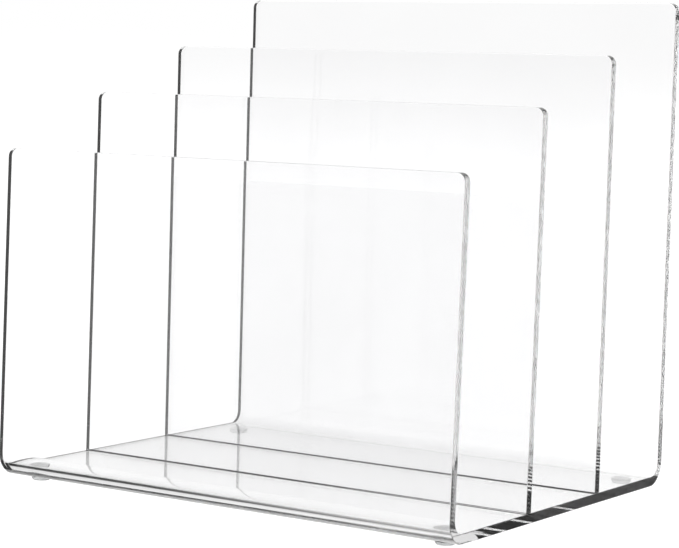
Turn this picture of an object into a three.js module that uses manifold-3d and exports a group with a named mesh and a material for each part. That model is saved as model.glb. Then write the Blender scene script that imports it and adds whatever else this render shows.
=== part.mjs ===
// Stepped magazine rack in clear acrylic sheet, in millimetres, +Z up.
// One sheet is heat-bent into a U: a short front wall, the base and a tall rear wall.
// Two flat dividers of rising height are cemented upright on the base, which leaves three
// pockets open at both ends and at the top. Four stuck-on bumper feet lift it off the table.
// The origin is on the table under the middle of the rack; the front wall faces -Y.
import * as THREE from 'three';
import { mergeVertices } from 'three/addons/utils/BufferGeometryUtils.js';
import Module from 'manifold-3d';

const wasm = await Module();
wasm.setup();

// Sheet and bends
const WIDTH = 305;
const DEPTH = 248;
const SHEET = 5.6;
const BEND_INNER_RADIUS = 8;
const BEND_OUTER_RADIUS = BEND_INNER_RADIUS + SHEET;
const CORNER_RADIUS = 5;

// Walls: heights are over the underside of the base, and both walls lean a little inwards
const FRONT_WALL_HEIGHT = 191.2;
const REAR_WALL_HEIGHT = 285.9;
const FRONT_TOE_IN = THREE.MathUtils.degToRad(1.3);
const REAR_TOE_IN = THREE.MathUtils.degToRad(0.15);

// Dividers: y of each one's foot at its mid-plane, its top over the underside of the base,
// and how far it leans towards the rear wall, in degrees
const DIVIDERS = {
  front: { y: -40.4, top: 224.3, lean: 0.8 },
  rear: { y: 40, top: 253.6, lean: 0.1 },
};
const BOND_THICKNESS = 0.2;

// Feet
const FOOT_RADIUS = 6;
const FOOT_HEIGHT = 2.8;
const FOOT_EDGE_RADIUS = 1.6;
const FOOT_DRAFT = 0.3;
const ADHESIVE_RADIUS = 5.4;
const ADHESIVE_THICKNESS = 0.2;
const FOOT_X = 138;
const FOOT_FRONT_Y = -103;
const FOOT_REAR_Y = 100;

// Heights over the table
const BASE_UNDERSIDE = FOOT_HEIGHT + ADHESIVE_THICKNESS;
const BASE_TOP = BASE_UNDERSIDE + SHEET;

// Fineness of the round stretches
const BEND_STEPS = 10;
const CORNER_STEPS = 8;
const FOOT_SIDES = 40;
const FOOT_EDGE_STEPS = 5;
const CUT_MARGIN = 2;

const acrylic = () => new THREE.MeshStandardMaterial({
  color: 0xf3f6f6,
  roughness: 0.04,
  metalness: 0,
  transparent: true,
  opacity: 0.3,
});
const cement = () => new THREE.MeshStandardMaterial({
  color: 0xdfe4e4,
  roughness: 0.15,
  metalness: 0,
  transparent: true,
  opacity: 0.5,
});
const polyurethane = () => new THREE.MeshStandardMaterial({
  color: 0xe9edec,
  roughness: 0.22,
  metalness: 0,
  transparent: true,
  opacity: 0.6,
});
const adhesive = () => new THREE.MeshStandardMaterial({
  color: 0xd5d8d6,
  roughness: 0.45,
  metalness: 0,
  transparent: true,
  opacity: 0.7,
});

function toSolid(geometry) {
  const bare = geometry.clone();
  bare.deleteAttribute('normal');
  bare.deleteAttribute('uv');
  const merged = mergeVertices(bare, 1e-4);
  return new wasm.Manifold(new wasm.Mesh({
    numProp: 3,
    vertProperties: new Float32Array(merged.attributes.position.array),
    triVerts: new Uint32Array(merged.index.array),
  }));
}

function toGeometry(solid) {
  const mesh = solid.getMesh();
  const geometry = new THREE.BufferGeometry();
  geometry.setAttribute('position', new THREE.BufferAttribute(mesh.vertProperties, 3));
  geometry.setIndex(new THREE.BufferAttribute(mesh.triVerts, 1));
  geometry.computeVertexNormals();
  return geometry;
}

// A wall of the bent sheet in the Y-Z plane. side is -1 for the front wall, +1 for the rear.
// centre is the middle of its bend, and up runs along the leaning wall.
function wallFrame(side, toeIn, height) {
  const centre = new THREE.Vector2(side * (DEPTH / 2 - BEND_OUTER_RADIUS), BEND_OUTER_RADIUS);
  const up = new THREE.Vector2(-side * Math.sin(toeIn), Math.cos(toeIn));
  const outward = new THREE.Vector2(side * Math.cos(toeIn), Math.sin(toeIn));
  const foot = centre.y + BEND_OUTER_RADIUS * outward.y;
  const run = (height - foot) / up.y;
  const topAt = (radius) => centre.clone().addScaledVector(outward, radius).addScaledVector(up, run);
  return { centre, up, outerTop: topAt(BEND_OUTER_RADIUS), innerTop: topAt(BEND_INNER_RADIUS) };
}

// Section of the sheet through Y-Z, extruded across the width along X
function sheetSection(front, rear) {
  const down = -Math.PI / 2;
  const frontAngle = -Math.PI - FRONT_TOE_IN;
  const section = new THREE.Shape();
  section.moveTo(front.innerTop.x, front.innerTop.y);
  section.lineTo(front.outerTop.x, front.outerTop.y);
  section.absarc(front.centre.x, front.centre.y, BEND_OUTER_RADIUS, frontAngle, down, false);
  section.absarc(rear.centre.x, rear.centre.y, BEND_OUTER_RADIUS, down, REAR_TOE_IN, false);
  section.lineTo(rear.outerTop.x, rear.outerTop.y);
  section.lineTo(rear.innerTop.x, rear.innerTop.y);
  section.absarc(rear.centre.x, rear.centre.y, BEND_INNER_RADIUS, REAR_TOE_IN, down, true);
  section.absarc(front.centre.x, front.centre.y, BEND_INNER_RADIUS, down, frontAngle, true);
  section.closePath();
  return section;
}

// The waste outside a wall's rounded top corner. side is +1 for the right end, -1 for the left.
function cornerWaste(wall, side) {
  const reach = WIDTH / 2;
  const outline = new THREE.Shape();
  outline.moveTo(reach - CORNER_RADIUS, 0);
  outline.absarc(reach - CORNER_RADIUS, -CORNER_RADIUS, CORNER_RADIUS, Math.PI / 2, 0, true);
  outline.lineTo(reach + CUT_MARGIN, -CORNER_RADIUS);
  outline.lineTo(reach + CUT_MARGIN, CUT_MARGIN);
  outline.lineTo(reach - CORNER_RADIUS, CUT_MARGIN);
  outline.closePath();
  const depth = SHEET + 2 * CUT_MARGIN;
  const waste = new THREE.ExtrudeGeometry(outline, {
    depth,
    bevelEnabled: false,
    curveSegments: CORNER_STEPS,
  });
  waste.translate(0, 0, -depth / 2);
  if (side < 0) waste.rotateY(Math.PI);
  const across = new THREE.Vector3(1, 0, 0);
  const up = new THREE.Vector3(0, wall.up.x, wall.up.y);
  const through = new THREE.Vector3().crossVectors(across, up);
  const middle = wall.outerTop.clone().add(wall.innerTop).multiplyScalar(0.5);
  waste.applyMatrix4(new THREE.Matrix4().makeBasis(across, up, through));
  return waste.translate(0, middle.x, middle.y);
}

function bentSheet() {
  const front = wallFrame(-1, FRONT_TOE_IN, FRONT_WALL_HEIGHT);
  const rear = wallFrame(1, REAR_TOE_IN, REAR_WALL_HEIGHT);
  const blank = new THREE.ExtrudeGeometry(sheetSection(front, rear), {
    depth: WIDTH,
    bevelEnabled: false,
    curveSegments: BEND_STEPS,
  });
  blank.rotateX(Math.PI / 2);
  blank.rotateZ(Math.PI / 2);
  blank.translate(-WIDTH / 2, 0, 0);
  let solid = toSolid(blank);
  for (const wall of [front, rear]) {
    for (const side of [-1, 1]) solid = solid.subtract(toSolid(cornerWaste(wall, side)));
  }
  return toGeometry(solid);
}

// A flat panel standing on z = 0, square at the foot and rounded at its two top corners.
// It leans by a shear, so that its foot stays flat on the cement.
function dividerPanel(height, lean) {
  const reach = WIDTH / 2;
  const outline = new THREE.Shape();
  outline.moveTo(-reach, 0);
  outline.lineTo(reach, 0);
  outline.lineTo(reach, height - CORNER_RADIUS);
  outline.absarc(reach - CORNER_RADIUS, height - CORNER_RADIUS, CORNER_RADIUS, 0, Math.PI / 2, false);
  outline.lineTo(CORNER_RADIUS - reach, height);
  outline.absarc(CORNER_RADIUS - reach, height - CORNER_RADIUS, CORNER_RADIUS, Math.PI / 2, Math.PI, false);
  outline.closePath();
  const panel = new THREE.ExtrudeGeometry(outline, {
    depth: SHEET,
    bevelEnabled: false,
    curveSegments: CORNER_STEPS,
  });
  panel.rotateX(Math.PI / 2);
  panel.translate(0, SHEET / 2, 0);
  const slope = Math.tan(THREE.MathUtils.degToRad(lean));
  return panel.applyMatrix4(new THREE.Matrix4().makeShear(0, 0, 0, 0, 0, slope));
}

// The film of set cement between a divider's lower edge and the base, standing on z = 0
function bondLine() {
  return new THREE.BoxGeometry(WIDTH, SHEET, BOND_THICKNESS).translate(0, 0, BOND_THICKNESS / 2);
}

// A round bumper standing on z = 0: a flat tread, a rounded lower edge and a slight draft
function bumperFoot() {
  const tread = FOOT_RADIUS - FOOT_EDGE_RADIUS;
  const profile = [new THREE.Vector2(0, 0)];
  for (let step = 0; step <= FOOT_EDGE_STEPS; step += 1) {
    const turn = (step / FOOT_EDGE_STEPS) * (Math.PI / 2);
    profile.push(new THREE.Vector2(
      tread - FOOT_DRAFT + FOOT_EDGE_RADIUS * Math.sin(turn),
      FOOT_EDGE_RADIUS * (1 - Math.cos(turn)),
    ));
  }
  profile.push(new THREE.Vector2(FOOT_RADIUS, FOOT_HEIGHT));
  profile.push(new THREE.Vector2(0, FOOT_HEIGHT));
  return new THREE.LatheGeometry(profile, FOOT_SIDES).rotateX(Math.PI / 2);
}

function adhesiveDisc() {
  const disc = new THREE.CylinderGeometry(ADHESIVE_RADIUS, ADHESIVE_RADIUS, ADHESIVE_THICKNESS, FOOT_SIDES);
  return disc.rotateX(Math.PI / 2).translate(0, 0, ADHESIVE_THICKNESS / 2);
}

function addPiece(parent, name, geometry, material, place) {
  const mesh = new THREE.Mesh(geometry, material);
  mesh.name = name;
  mesh.position.set(...place);
  parent.add(mesh);
}

const rack = new THREE.Group();

addPiece(rack, 'bent_sheet', bentSheet(), acrylic(), [0, 0, BASE_UNDERSIDE]);

for (const [place, { y, top, lean }] of Object.entries(DIVIDERS)) {
  const height = top - SHEET - BOND_THICKNESS;
  addPiece(rack, `divider_${place}_bond`, bondLine(), cement(), [0, y, BASE_TOP]);
  addPiece(rack, `divider_${place}`, dividerPanel(height, lean), acrylic(), [0, y, BASE_TOP + BOND_THICKNESS]);
}

for (const [endName, y] of [['front', FOOT_FRONT_Y], ['rear', FOOT_REAR_Y]]) {
  for (const [sideName, x] of [['left', -FOOT_X], ['right', FOOT_X]]) {
    addPiece(rack, `foot_${endName}_${sideName}`, bumperFoot(), polyurethane(), [x, y, 0]);
    addPiece(rack, `foot_adhesive_${endName}_${sideName}`, adhesiveDisc(), adhesive(), [x, y, FOOT_HEIGHT]);
  }
}

export default rack;
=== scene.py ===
import math

import bpy
from mathutils import Matrix, Vector


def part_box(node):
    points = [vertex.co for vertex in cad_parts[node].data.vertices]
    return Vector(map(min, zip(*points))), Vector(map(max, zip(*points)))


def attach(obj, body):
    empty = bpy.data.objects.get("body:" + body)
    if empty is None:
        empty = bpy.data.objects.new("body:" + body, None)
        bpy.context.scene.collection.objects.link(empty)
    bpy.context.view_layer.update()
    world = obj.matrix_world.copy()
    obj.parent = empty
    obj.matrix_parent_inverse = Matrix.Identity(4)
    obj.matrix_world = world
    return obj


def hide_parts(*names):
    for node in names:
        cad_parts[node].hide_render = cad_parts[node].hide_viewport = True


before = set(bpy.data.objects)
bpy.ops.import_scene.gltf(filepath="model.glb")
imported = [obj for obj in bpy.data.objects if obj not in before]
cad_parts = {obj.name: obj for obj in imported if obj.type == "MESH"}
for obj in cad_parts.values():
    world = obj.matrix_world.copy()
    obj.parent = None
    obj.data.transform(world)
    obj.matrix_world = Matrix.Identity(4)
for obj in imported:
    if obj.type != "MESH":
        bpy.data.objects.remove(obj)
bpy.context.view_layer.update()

MM = 0.001

# ---------------------------------------------------------------- camera

CAMERA_PLACE = Vector((0.7261, -1.1018, 0.2415))
CAMERA_AZIMUTH = math.radians(33.41)
CAMERA_DIP = math.radians(5.04)
CAMERA_ROLL = math.radians(1.655)
CAMERA_LENS = 119.75
CAMERA_SENSOR = 36.0


def make_camera():
    data = bpy.data.cameras.new("camera")
    data.lens = CAMERA_LENS
    data.sensor_width = CAMERA_SENSOR
    camera = bpy.data.objects.new("camera", data)
    bpy.context.scene.collection.objects.link(camera)
    turn = Matrix.Rotation(CAMERA_AZIMUTH, 4, "Z")
    tilt = Matrix.Rotation(math.pi / 2 - CAMERA_DIP, 4, "X")
    roll = Matrix.Rotation(CAMERA_ROLL, 4, "Z")
    camera.matrix_world = Matrix.Translation(CAMERA_PLACE) @ turn @ tilt @ roll
    bpy.context.scene.camera = camera


make_camera()

# ---------------------------------------------------------------- sizes

# The outlines come from the frame; thickness, bends, leans and heights are the CAD part's own.
SHEET_LOW, SHEET_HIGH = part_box("bent_sheet")
WIDTH = SHEET_HIGH.x - SHEET_LOW.x
DIVIDER_BOXES = {place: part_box(f"divider_{place}") for place in ("front", "rear")}
SHEET = 5.6 * MM
UNDERSIDE = SHEET_LOW.z
BASE_TOP = UNDERSIDE + SHEET
BEND_INNER = 8 * MM
BEND_MIDDLE = BEND_INNER + SHEET / 2
BEND_OUTER = BEND_INNER + SHEET
FRONT_TOE_IN = math.radians(1.3)
REAR_TOE_IN = math.radians(0.15)
FRONT_WALL_TOP = UNDERSIDE + 191.2 * MM
DIVIDER_LEAN = {"front": math.radians(0.8), "rear": math.radians(0.1)}
CORNER = 5 * MM
EDGE_ROUND = 0.35 * MM
FRONT_THINNING = 0.05
REAR_THINNING = 0.10

# Fineness of the round stretches
EDGE_STEPS = 3
CORNER_STEPS = 14
BEND_STEPS = 48


# ---------------------------------------------------------------- sheet pieces


def edge_profile():
    """(inset, height, turn) round a polished edge, from the upper face to the lower one.
    turn is 0 where the surface faces up, 90 degrees where it faces outwards, 180 where it faces down."""
    upper = []
    for step in range(EDGE_STEPS + 1):
        turn = math.pi / 2 * step / EDGE_STEPS
        inset = EDGE_ROUND * (1 - math.sin(turn))
        upper.append((inset, SHEET / 2 - EDGE_ROUND * (1 - math.cos(turn)), turn))
    return upper + [(inset, -height, math.pi - turn) for inset, height, turn in reversed(upper)]


def corner_rows(end, towards):
    """Rows (run, reach, outward) round a sheet's corner, from its side to its end edge.
    run is measured along the sheet, reach across it, and towards is +1 or -1 along the run.
    outward is the direction in which the outline faces, across the sheet and along it."""
    rows = []
    for step in range(CORNER_STEPS + 1):
        turn = math.pi / 2 * step / CORNER_STEPS
        run = end - towards * CORNER * (1 - math.sin(turn))
        reach = WIDTH / 2 - CORNER * (1 - math.cos(turn))
        rows.append((run, reach, (math.cos(turn), towards * math.sin(turn))))
    return rows


def side_rows(runs):
    return [(run, WIDTH / 2, (1.0, 0.0)) for run in runs]


class SheetPiece:
    """A mesh of one sheet, laid out flat by rows and put in place by a path.
    Flat faces keep their own exact normals, and round ones get the normals of the true curve,
    because light that is trapped in the sheet is reflected dozens of times."""

    def __init__(self, name, rows, path, butt_start=False, joint_runs=()):
        self.rows = rows
        self.profile = edge_profile()
        self.ring = len(self.profile)
        self.path = path
        self.joint_runs = joint_runs
        self.points = []
        self.rims = []
        self.faces = []
        self.kinds = []
        self.normals = []
        self.lay_points()
        self.lay_faces(butt_start)
        self.object = self.make_object(name)

    def index(self, row, side, step):
        return (row * 2 + (1 if side > 0 else 0)) * self.ring + step

    def lay_points(self):
        for run, reach, outward in self.rows:
            along, up = self.path.directions(run)
            for side in (-1, 1):
                out = Vector((side * outward[0], 0, 0)) + along * outward[1]
                for inset, height, turn in self.profile:
                    across = side * (reach - inset * outward[0])
                    self.points.append(self.path.place(across, run - inset * outward[1], height))
                    self.rims.append(out * math.sin(turn) + up * math.cos(turn))

    def add(self, corners, kind, normals=None):
        self.faces.append(corners)
        self.kinds.append(kind)
        self.normals.append(normals)

    def add_edge(self, corners):
        self.add(corners, "edge", [self.rims[corner] for corner in corners])

    def add_face(self, here, there, step):
        """One stretch of the upper face (step 0) or of the lower one (the ring's last step)."""
        order = (-1, 1) if step == 0 else (1, -1)
        corners = [self.index(here, side, step) for side in order]
        corners += [self.index(there, side, step) for side in reversed(order)]
        middle = (self.rows[here][0] + self.rows[there][0]) / 2
        bonded = step == 0 and any(low < middle < high for low, high in self.joint_runs)
        kind = "joint" if bonded else "face"
        if self.path.is_flat(middle):
            self.add(corners, kind)
        else:
            self.add(corners, kind, [self.rims[corner] for corner in corners])

    def lay_faces(self, butt_start):
        last = self.ring - 1
        for here in range(len(self.rows) - 1):
            there = here + 1
            self.add_face(here, there, 0)
            self.add_face(here, there, last)
            for step in range(last):
                self.add_edge([self.index(here, 1, step), self.index(here, 1, step + 1),
                               self.index(there, 1, step + 1), self.index(there, 1, step)])
                self.add_edge([self.index(here, -1, step + 1), self.index(here, -1, step),
                               self.index(there, -1, step), self.index(there, -1, step + 1)])
        end = len(self.rows) - 1
        for step in range(last):
            self.add_edge([self.index(end, 1, step), self.index(end, 1, step + 1),
                           self.index(end, -1, step + 1), self.index(end, -1, step)])
        if butt_start:
            right = [self.index(0, 1, step) for step in range(self.ring)]
            left = [self.index(0, -1, step) for step in reversed(range(self.ring))]
            self.add(list(reversed(right + left)), "joint")
        else:
            for step in range(last):
                self.add_edge([self.index(0, -1, step), self.index(0, -1, step + 1),
                               self.index(0, 1, step + 1), self.index(0, 1, step)])

    def make_object(self, name):
        mesh = bpy.data.meshes.new(name)
        mesh.from_pydata(self.points, [], self.faces)
        mesh.update()
        exact = Vector((0, 0, 0))
        normals = []
        for polygon, given in zip(mesh.polygons, self.normals):
            polygon.use_smooth = given is not None
            normals += given if given else [exact] * polygon.loop_total
        mesh.normals_split_custom_set(normals)
        return link_mesh(name, mesh)


def link_mesh(name, mesh):
    piece = bpy.data.objects.new(name, mesh)
    bpy.context.scene.collection.objects.link(piece)
    return piece


class BentPath:
    """Maps a point of the flat sheet onto the U. run 0 is the top of the front wall."""

    def __init__(self):
        self.front_centre = (SHEET_LOW.y + BEND_OUTER, UNDERSIDE + BEND_OUTER)
        self.rear_centre = (SHEET_HIGH.y - BEND_OUTER, UNDERSIDE + BEND_OUTER)
        front_foot = self.front_centre[1] + BEND_OUTER * math.sin(FRONT_TOE_IN)
        rear_foot = self.rear_centre[1] + BEND_OUTER * math.sin(REAR_TOE_IN)
        rear_top = SHEET_HIGH.z
        self.front_run = (FRONT_WALL_TOP - front_foot) / math.cos(FRONT_TOE_IN)
        self.front_bend = BEND_MIDDLE * (math.pi / 2 + FRONT_TOE_IN)
        self.base_run = self.rear_centre[0] - self.front_centre[0]
        self.rear_bend = BEND_MIDDLE * (math.pi / 2 + REAR_TOE_IN)
        self.rear_run = (rear_top - rear_foot) / math.cos(REAR_TOE_IN)
        self.bend_start = self.front_run
        self.base_start = self.bend_start + self.front_bend
        self.base_end = self.base_start + self.base_run
        self.rear_start = self.base_end + self.rear_bend
        self.length = self.rear_start + self.rear_run

    def run_at(self, y):
        return self.base_start + y - self.front_centre[0]

    def spot(self, across, centre, angle, radius, slide=0.0):
        """A point at that radius and angle about a bend, moved along the sheet by slide."""
        y = centre[0] + radius * math.cos(angle) - slide * math.sin(angle)
        z = centre[1] + radius * math.sin(angle) + slide * math.cos(angle)
        return Vector((across, y, z))

    def thinning(self, run):
        """The share of its thickness that the sheet keeps at that run: heating stretches a bend."""
        for start, length, share in ((self.bend_start, self.front_bend, FRONT_THINNING),
                                     (self.base_end, self.rear_bend, REAR_THINNING)):
            if start < run < start + length:
                return 1 - share * math.sin(math.pi * (run - start) / length) ** 2
        return 1.0

    def place(self, across, run, height):
        """height is over the sheet's middle, positive towards the pockets."""
        radius = BEND_MIDDLE - height * self.thinning(run)
        if run < self.bend_start:
            angle = math.pi - FRONT_TOE_IN
            return self.spot(across, self.front_centre, angle, radius, run - self.bend_start)
        if run < self.base_start:
            angle = math.pi - FRONT_TOE_IN + (run - self.bend_start) / BEND_MIDDLE
            return self.spot(across, self.front_centre, angle, radius)
        if run < self.base_end:
            y = self.front_centre[0] + run - self.base_start
            return Vector((across, y, self.front_centre[1] - radius))
        if run < self.rear_start:
            angle = -math.pi / 2 + (run - self.base_end) / BEND_MIDDLE
            return self.spot(across, self.rear_centre, angle, radius)
        return self.spot(across, self.rear_centre, REAR_TOE_IN, radius, run - self.rear_start)

    def is_flat(self, run):
        return not (self.bend_start < run < self.base_start or self.base_end < run < self.rear_start)

    def directions(self, run):
        """Along the sheet, and up from its outer face to its inner one, at that run."""
        if run < self.base_start:
            angle = math.pi - FRONT_TOE_IN + max(0.0, run - self.bend_start) / BEND_MIDDLE
        elif run < self.base_end:
            angle = -math.pi / 2
        else:
            angle = -math.pi / 2 + min(run - self.base_end, self.rear_bend) / BEND_MIDDLE
        along = Vector((0, -math.sin(angle), math.cos(angle)))
        up = Vector((0, -math.cos(angle), -math.sin(angle)))
        return along, up


class UprightPath:
    """Stands a flat sheet on its start, with its upper face to the front.
    It leans to the rear by a shear, so that its foot stays level."""

    def __init__(self, middle, foot, lean):
        self.middle = middle
        self.foot = foot
        self.slope = math.tan(lean)

    def place(self, across, run, height):
        return Vector((across, self.middle + self.slope * run - height, self.foot + run))

    def is_flat(self, run):
        return True

    def directions(self, run):
        return Vector((0, self.slope, 1)).normalized(), Vector((0, -1, self.slope)).normalized()


def spaced(low, high, steps):
    return [low + (high - low) * step / steps for step in range(steps + 1)]


def make_bent_sheet():
    path = BentPath()
    feet = [low.y for low, _ in DIVIDER_BOXES.values()]
    joints = [(path.run_at(y), path.run_at(y + SHEET)) for y in feet]
    bonds = [run for pair in sorted(joints) for run in pair]
    runs = spaced(path.bend_start, path.base_start, BEND_STEPS)
    runs += bonds
    runs += spaced(path.base_end, path.rear_start, BEND_STEPS)
    rows = list(reversed(corner_rows(0.0, -1)))
    rows += side_rows(runs)
    rows += corner_rows(path.length, 1)
    return SheetPiece("bent_sheet_clear", rows, path, joint_runs=joints)


def make_divider(place_name):
    low, high = DIVIDER_BOXES[place_name]
    path = UprightPath(low.y + SHEET / 2, low.z, DIVIDER_LEAN[place_name])
    rows = side_rows([0.0]) + corner_rows(high.z - low.z, 1)
    return SheetPiece(f"divider_{place_name}_clear", rows, path, butt_start=True)


# ---------------------------------------------------------------- materials

ACRYLIC_INDEX = 1.491
SOFT_INDEX = 1.5
HAZE_LOW = 0.995
HAZE_HIGH = 0.999
MARKS_ROUGHNESS = 0.02
MARKS_STRETCH = (1.0, 1.0, 0.04)
NOISE_DETAIL = 4.0
NOISE_LOW = 0.3
NOISE_HIGH = 0.7


def new_material(name):
    material = bpy.data.materials.new(name)
    material.use_nodes = True
    nodes = material.node_tree.nodes
    return material, nodes, material.node_tree.links, nodes["Principled BSDF"]


def bare_material(name):
    """A material with nothing but its output."""
    material = bpy.data.materials.new(name)
    material.use_nodes = True
    nodes = material.node_tree.nodes
    nodes.clear()
    return material, nodes, material.node_tree.links, nodes.new("ShaderNodeOutputMaterial")


def set_range(node, low, high, at_low, at_high):
    """Sets a map range node to turn low..high into at_low..at_high."""
    node.inputs["From Min"].default_value = low
    node.inputs["From Max"].default_value = high
    node.inputs["To Min"].default_value = at_low
    node.inputs["To Max"].default_value = at_high


def soft_noise(nodes, links, scale, low, high, stretch=(1.0, 1.0, 1.0)):
    """A value that wanders between low and high. scale is in cells per metre."""
    coords = nodes.new("ShaderNodeTexCoord")
    mapping = nodes.new("ShaderNodeMapping")
    mapping.inputs["Scale"].default_value = stretch
    noise = nodes.new("ShaderNodeTexNoise")
    noise.inputs["Scale"].default_value = scale
    noise.inputs["Detail"].default_value = NOISE_DETAIL
    spread = nodes.new("ShaderNodeMapRange")
    set_range(spread, NOISE_LOW, NOISE_HIGH, low, high)
    links.new(coords.outputs["Object"], mapping.inputs["Vector"])
    links.new(mapping.outputs["Vector"], noise.inputs["Vector"])
    links.new(noise.outputs["Fac"], spread.inputs["Value"])
    return spread.outputs["Result"]


def mottle(nodes, links, socket, scale, dark, light):
    """Feeds a colour socket with a soft noise between two colours."""
    blend = nodes.new("ShaderNodeMix")
    blend.data_type = "RGBA"
    blend.inputs["A"].default_value = (*dark, 1.0)
    blend.inputs["B"].default_value = (*light, 1.0)
    links.new(soft_noise(nodes, links, scale, 0.0, 1.0), blend.inputs["Factor"])
    links.new(blend.outputs["Result"], socket)


def acrylic_material():
    """The sheet's faces: clear, with a trace of dust haze that comes and goes."""
    material, nodes, links, shader = new_material("clear_acrylic")
    mottle(nodes, links, shader.inputs["Base Color"], scale=14,
           dark=(0.958, 0.958, 0.960), light=(0.974, 0.974, 0.976))
    haze = soft_noise(nodes, links, scale=60, low=HAZE_LOW, high=HAZE_HIGH)
    links.new(haze, shader.inputs["Transmission Weight"])
    shader.inputs["Roughness"].default_value = 0.0
    shader.inputs["IOR"].default_value = ACRYLIC_INDEX
    return material


def edge_material():
    """The sheet's polished edges: as clear, with faint upright streaks of polishing marks."""
    material, nodes, links, shader = new_material("polished_edge")
    mottle(nodes, links, shader.inputs["Base Color"], scale=90,
           dark=(0.93, 0.93, 0.932), light=(0.96, 0.96, 0.962))
    marks = soft_noise(nodes, links, scale=500, low=0.0, high=MARKS_ROUGHNESS, stretch=MARKS_STRETCH)
    links.new(marks, shader.inputs["Roughness"])
    shader.inputs["IOR"].default_value = ACRYLIC_INDEX
    shader.inputs["Transmission Weight"].default_value = 1.0
    return material


def joint_material():
    """Faces in contact: light passes straight on, because cement and acrylic refract alike."""
    material, nodes, links, output = bare_material("optical_joint")
    clear = nodes.new("ShaderNodeBsdfTransparent")
    links.new(clear.outputs["BSDF"], output.inputs["Surface"])
    return material


ACRYLIC = acrylic_material()
EDGE = edge_material()
JOINT = joint_material()


def finish_sheet(piece, kinds):
    order = ("face", "edge", "joint")
    for material in (ACRYLIC, EDGE, JOINT):
        piece.data.materials.append(material)
    for polygon, kind in zip(piece.data.polygons, kinds):
        polygon.material_index = order.index(kind)


# ---------------------------------------------------------------- feet and bonds

TURNED_SIDES = 64
FLAT_NORMAL = 0.99
FOOT_ROUNDING = 1.6 * MM
FOOT_DRAFT = 0.3 * MM
FOOT_CHAMFER = 0.15 * MM
FOOT_STEPS = 8
AIR_GAP = 0.02 * MM
BEAD = 0.32 * MM
BEAD_STEPS = 4
# The film's lower and upper face among the faces that strip_faces gives
FILM_CONTACTS = (2, 4)


def turned_mesh(name, profile, centre):
    """A closed body turned about a vertical axis. profile runs from the axis to the axis, upwards."""
    points = []
    faces = []
    rims = profile[1:-1]
    for reach, height in rims:
        for side in range(TURNED_SIDES):
            turn = 2 * math.pi * side / TURNED_SIDES
            points.append(centre + Vector((reach * math.cos(turn), reach * math.sin(turn), height)))
    for rim in range(len(rims) - 1):
        for side in range(TURNED_SIDES):
            after = (side + 1) % TURNED_SIDES
            low = rim * TURNED_SIDES
            high = low + TURNED_SIDES
            faces.append([low + side, low + after, high + after, high + side])
    top = (len(rims) - 1) * TURNED_SIDES
    faces.append(list(reversed(range(TURNED_SIDES))))
    faces.append([top + side for side in range(TURNED_SIDES)])
    mesh = bpy.data.meshes.new(name)
    mesh.from_pydata(points, [], faces)
    mesh.update()
    return link_mesh(name, mesh)


def finish_turned(piece, material):
    """Gives the piece its material, and smooths all but its flat ends."""
    piece.data.materials.append(material)
    for polygon in piece.data.polygons:
        polygon.use_smooth = abs(polygon.normal.z) < FLAT_NORMAL


def hazy_material(name, scale, dark, light, roughness, clearness):
    """A hazy material whose colour and roughness wander; roughness is (low, high)."""
    material, nodes, links, shader = new_material(name)
    mottle(nodes, links, shader.inputs["Base Color"], scale, dark, light)
    links.new(soft_noise(nodes, links, scale * 2, *roughness), shader.inputs["Roughness"])
    shader.inputs["IOR"].default_value = SOFT_INDEX
    shader.inputs["Transmission Weight"].default_value = clearness
    return material


POLYURETHANE = hazy_material(
    "clear_polyurethane",
    scale=300,
    dark=(0.55, 0.56, 0.56),
    light=(0.72, 0.73, 0.73),
    roughness=(0.05, 0.12),
    clearness=1.0,
)
ADHESIVE = hazy_material(
    "foot_adhesive",
    scale=700,
    dark=(0.78, 0.78, 0.78),
    light=(0.92, 0.92, 0.92),
    roughness=(0.25, 0.45),
    clearness=0.7,
)
# The cement's near-black colour is painted shade: it paints the dark line where each divider meets the
# base, while the cement itself is as clear as the acrylic.
CEMENT_WITH_PAINTED_SHADE = hazy_material(
    "acrylic_cement",
    scale=250,
    dark=(0.01, 0.01, 0.01),
    light=(0.06, 0.06, 0.06),
    roughness=(0.3, 0.5),
    clearness=0.2,
)


def make_foot(name):
    """A round bumper: a flat tread, a rounded lower edge and a chamfer at the top."""
    low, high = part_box(name)
    centre = Vector(((low.x + high.x) / 2, (low.y + high.y) / 2, low.z))
    reach = (high.x - low.x) / 2
    tall = high.z - low.z
    profile = [(0.0, 0.0)]
    for step in range(FOOT_STEPS + 1):
        turn = math.pi / 2 * step / FOOT_STEPS
        inset = FOOT_DRAFT + FOOT_ROUNDING * (1 - math.sin(turn))
        profile.append((reach - inset, FOOT_ROUNDING * (1 - math.cos(turn))))
    profile.append((reach - FOOT_CHAMFER, tall - FOOT_CHAMFER))
    profile.append((reach - 2 * FOOT_CHAMFER, tall))
    profile.append((0.0, tall))
    piece = turned_mesh(f"{name}_clear", profile, centre)
    finish_turned(piece, POLYURETHANE)
    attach(piece, "root")
    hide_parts(name)


def make_adhesive(name):
    """The adhesive disc over a foot, with a trace of air on either side."""
    low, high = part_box(name)
    centre = Vector(((low.x + high.x) / 2, (low.y + high.y) / 2, low.z + AIR_GAP))
    reach = (high.x - low.x) / 2
    tall = high.z - low.z - 2 * AIR_GAP
    profile = [(0.0, 0.0), (reach, 0.0), (reach, tall), (0.0, tall)]
    piece = turned_mesh(f"{name}_film", profile, centre)
    finish_turned(piece, ADHESIVE)
    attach(piece, "root")
    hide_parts(name)


def strip_faces(first, outline):
    """Faces of a bar whose left and right outlines follow each other from the point first."""
    left = [first + step for step in range(outline)]
    right = [first + outline + step for step in range(outline)]
    faces = [list(reversed(left)), right]
    for step in range(outline):
        after = (step + 1) % outline
        faces.append([left[step], left[after], right[after], right[step]])
    return faces


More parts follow.
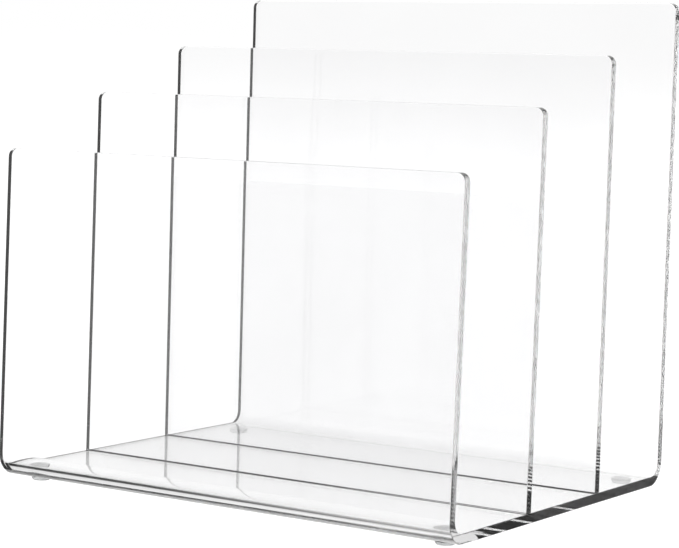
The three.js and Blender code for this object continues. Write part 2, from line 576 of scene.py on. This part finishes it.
def make_bond(place_name):
    """The film of cement under a divider, and the bead along its front where it was run in. Both are
    real, but their near-black colour is painted shade along the joint.
    """
    node = f"divider_{place_name}_bond"
    low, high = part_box(node)
    reach = WIDTH / 2 - EDGE_ROUND
    film = [(low.y, low.z), (high.y, low.z), (high.y, high.z), (low.y, high.z)]
    corner = (low.y - AIR_GAP, low.z + AIR_GAP)
    bead = [corner]
    for step in range(BEAD_STEPS + 1):
        turn = math.pi / 2 * step / BEAD_STEPS
        bead.append((corner[0] - BEAD * math.sin(turn), corner[1] + BEAD * math.cos(turn)))
    points = []
    faces = []
    for outline in (film, bead):
        faces += strip_faces(len(points), len(outline))
        points += [(across, y, z) for across in (-reach, reach) for y, z in outline]
    mesh = bpy.data.meshes.new(node)
    mesh.from_pydata(points, [], faces)
    # The film's open sides and the bead take the cement with painted shade; its contact faces stay
    # clear.
    mesh.materials.append(CEMENT_WITH_PAINTED_SHADE)
    mesh.materials.append(JOINT)
    for index in FILM_CONTACTS:
        mesh.polygons[index].material_index = 1
    piece = link_mesh(f"{node}_film", mesh)
    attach(piece, "root")
    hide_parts(node)


def keep_sheet(piece, node):
    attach(piece, "root")
    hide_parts(node)


def make_sheets():
    sheet = make_bent_sheet()
    finish_sheet(sheet.object, sheet.kinds)
    keep_sheet(sheet.object, "bent_sheet")
    for place_name in DIVIDER_BOXES:
        divider = make_divider(place_name)
        finish_sheet(divider.object, divider.kinds)
        keep_sheet(divider.object, f"divider_{place_name}")
        make_bond(place_name)


def make_feet():
    for end in ("front", "rear"):
        for side in ("left", "right"):
            make_foot(f"foot_{end}_{side}")
            make_adhesive(f"foot_adhesive_{end}_{side}")


make_sheets()
make_feet()

# ---------------------------------------------------------------- studio


FLOOR_REACH = 3.0
FLOOR_GLOW = 0.9
FLOOR_BRIGHTNESS = 1.16
WHITE = (1.0, 1.0, 1.0, 1.0)

# The backdrop's brightness by the height of the direction: from, to, brightness at both
BACKDROP_STEPS = (
    (-0.08, 0.02, 1.35, 1.0),
    (0.1, 0.5, 1.0, 1.7),
)

# The studio's soft lights: direction, half angle and fade in degrees, brightness.
# The broad one stands behind the rack as the photo shows it, a little below the horizon.
BROAD_DIP = math.radians(7)
BROAD_LIGHT = (-math.sin(CAMERA_AZIMUTH), math.cos(CAMERA_AZIMUTH), -math.tan(BROAD_DIP))
STUDIO_LIGHTS = (
    (BROAD_LIGHT, 43, 10, 0.95),
    ((-1.0, -1.0, 0.0), 30, 10, 0.85),
    ((-1.0, 0.0, 0.0), 30, 12, 0.8),
    ((0.0, 0.0, -1.0), 30, 10, 0.6),
)
STUDIO_DIM = 0.03


def glossy_switch(nodes, links):
    """1 for light that a glossy surface has turned at least once, else 0.
    It shows reflections a soft studio, while the rack stands before a plain white backdrop."""
    path = nodes.new("ShaderNodeLightPath")
    switch = nodes.new("ShaderNodeMath")
    switch.operation = "GREATER_THAN"
    switch.inputs[1].default_value = 0.5
    links.new(path.outputs["Glossy Depth"], switch.inputs[0])
    return switch.outputs[0]


def make_floor():
    mesh = bpy.data.meshes.new("floor")
    signs = ((-1, -1), (1, -1), (1, 1), (-1, 1))
    corners = [(FLOOR_REACH * x, FLOOR_REACH * y, 0.0) for x, y in signs]
    mesh.from_pydata(corners, [], [[0, 1, 2, 3]])
    floor = link_mesh("floor", mesh)
    material, nodes, links, output = bare_material("floor_paint")
    paint = nodes.new("ShaderNodeBsdfDiffuse")
    mottle(nodes, links, paint.inputs["Color"], scale=3,
           dark=(0.90, 0.90, 0.90), light=(0.96, 0.96, 0.96))
    glow = nodes.new("ShaderNodeEmission")
    glow.inputs["Color"].default_value = WHITE
    glow.inputs["Strength"].default_value = FLOOR_BRIGHTNESS
    lit = nodes.new("ShaderNodeMixShader")
    lit.inputs["Fac"].default_value = FLOOR_GLOW
    links.new(paint.outputs[0], lit.inputs[1])
    links.new(glow.outputs[0], lit.inputs[2])
    nothing = nodes.new("ShaderNodeBsdfTransparent")
    pick = nodes.new("ShaderNodeMixShader")
    links.new(glossy_switch(nodes, links), pick.inputs["Fac"])
    links.new(lit.outputs[0], pick.inputs[1])
    links.new(nothing.outputs[0], pick.inputs[2])
    links.new(pick.outputs[0], output.inputs["Surface"])
    mesh.materials.append(material)


def smooth_step(nodes, links, value, low, high, at_low, at_high):
    """Goes smoothly from at_low to at_high while the value goes from low to high."""
    ease = nodes.new("ShaderNodeMapRange")
    ease.interpolation_type = "SMOOTHSTEP"
    set_range(ease, low, high, at_low, at_high)
    links.new(value, ease.inputs["Value"])
    return ease.outputs["Result"]


def soft_lobe(nodes, links, direction, towards, half_angle, fade, brightness):
    """Brightness within half_angle degrees of a direction, fading out over fade degrees."""
    near = nodes.new("ShaderNodeVectorMath")
    near.operation = "DOT_PRODUCT"
    near.inputs[1].default_value = Vector(towards).normalized()
    links.new(direction, near.inputs[0])
    outer = math.cos(math.radians(half_angle + fade))
    inner = math.cos(math.radians(half_angle))
    return smooth_step(nodes, links, near.outputs["Value"], outer, inner, 0.0, brightness)


def brightest(nodes, links, values):
    """The largest of several values."""
    found = values[0]
    for value in values[1:]:
        larger = nodes.new("ShaderNodeMath")
        larger.operation = "MAXIMUM"
        links.new(found, larger.inputs[0])
        links.new(value, larger.inputs[1])
        found = larger.outputs[0]
    return found


def make_world():
    """A plain white backdrop to the eye, and a dim studio with soft lights to reflections."""
    world = bpy.data.worlds.new("studio")
    bpy.context.scene.world = world
    world.use_nodes = True
    nodes = world.node_tree.nodes
    links = world.node_tree.links
    nodes.clear()
    output = nodes.new("ShaderNodeOutputWorld")
    direction = nodes.new("ShaderNodeTexCoord").outputs["Generated"]
    parts = nodes.new("ShaderNodeSeparateXYZ")
    links.new(direction, parts.inputs[0])
    backdrop = nodes.new("ShaderNodeBackground")
    backdrop.inputs["Color"].default_value = WHITE
    levels = [smooth_step(nodes, links, parts.outputs["Z"], *step) for step in BACKDROP_STEPS]
    links.new(brightest(nodes, links, levels), backdrop.inputs["Strength"])
    studio = nodes.new("ShaderNodeBackground")
    studio.inputs["Color"].default_value = WHITE
    lights = [soft_lobe(nodes, links, direction, *light) for light in STUDIO_LIGHTS]
    dim = nodes.new("ShaderNodeMath")
    dim.operation = "MAXIMUM"
    dim.inputs[1].default_value = STUDIO_DIM
    links.new(brightest(nodes, links, lights), dim.inputs[0])
    links.new(dim.outputs[0], studio.inputs["Strength"])
    pick = nodes.new("ShaderNodeMixShader")
    links.new(glossy_switch(nodes, links), pick.inputs["Fac"])
    links.new(backdrop.outputs[0], pick.inputs[1])
    links.new(studio.outputs[0], pick.inputs[2])
    links.new(pick.outputs[0], output.inputs["Surface"])


def set_light_paths():
    """Enough bounces for light that is trapped in a sheet, and no blurring of sharp reflections."""
    scene = bpy.context.scene
    scene.view_settings.view_transform = "Standard"
    scene.view_settings.look = "None"
    cycles = scene.cycles
    cycles.max_bounces = 128
    cycles.diffuse_bounces = 4
    cycles.glossy_bounces = 96
    cycles.transmission_bounces = 96
    cycles.transparent_max_bounces = 64
    cycles.caustics_reflective = True
    cycles.caustics_refractive = True
    cycles.sample_clamp_indirect = 0.0
    cycles.blur_glossy = 0.0


make_floor()
make_world()
set_light_paths()
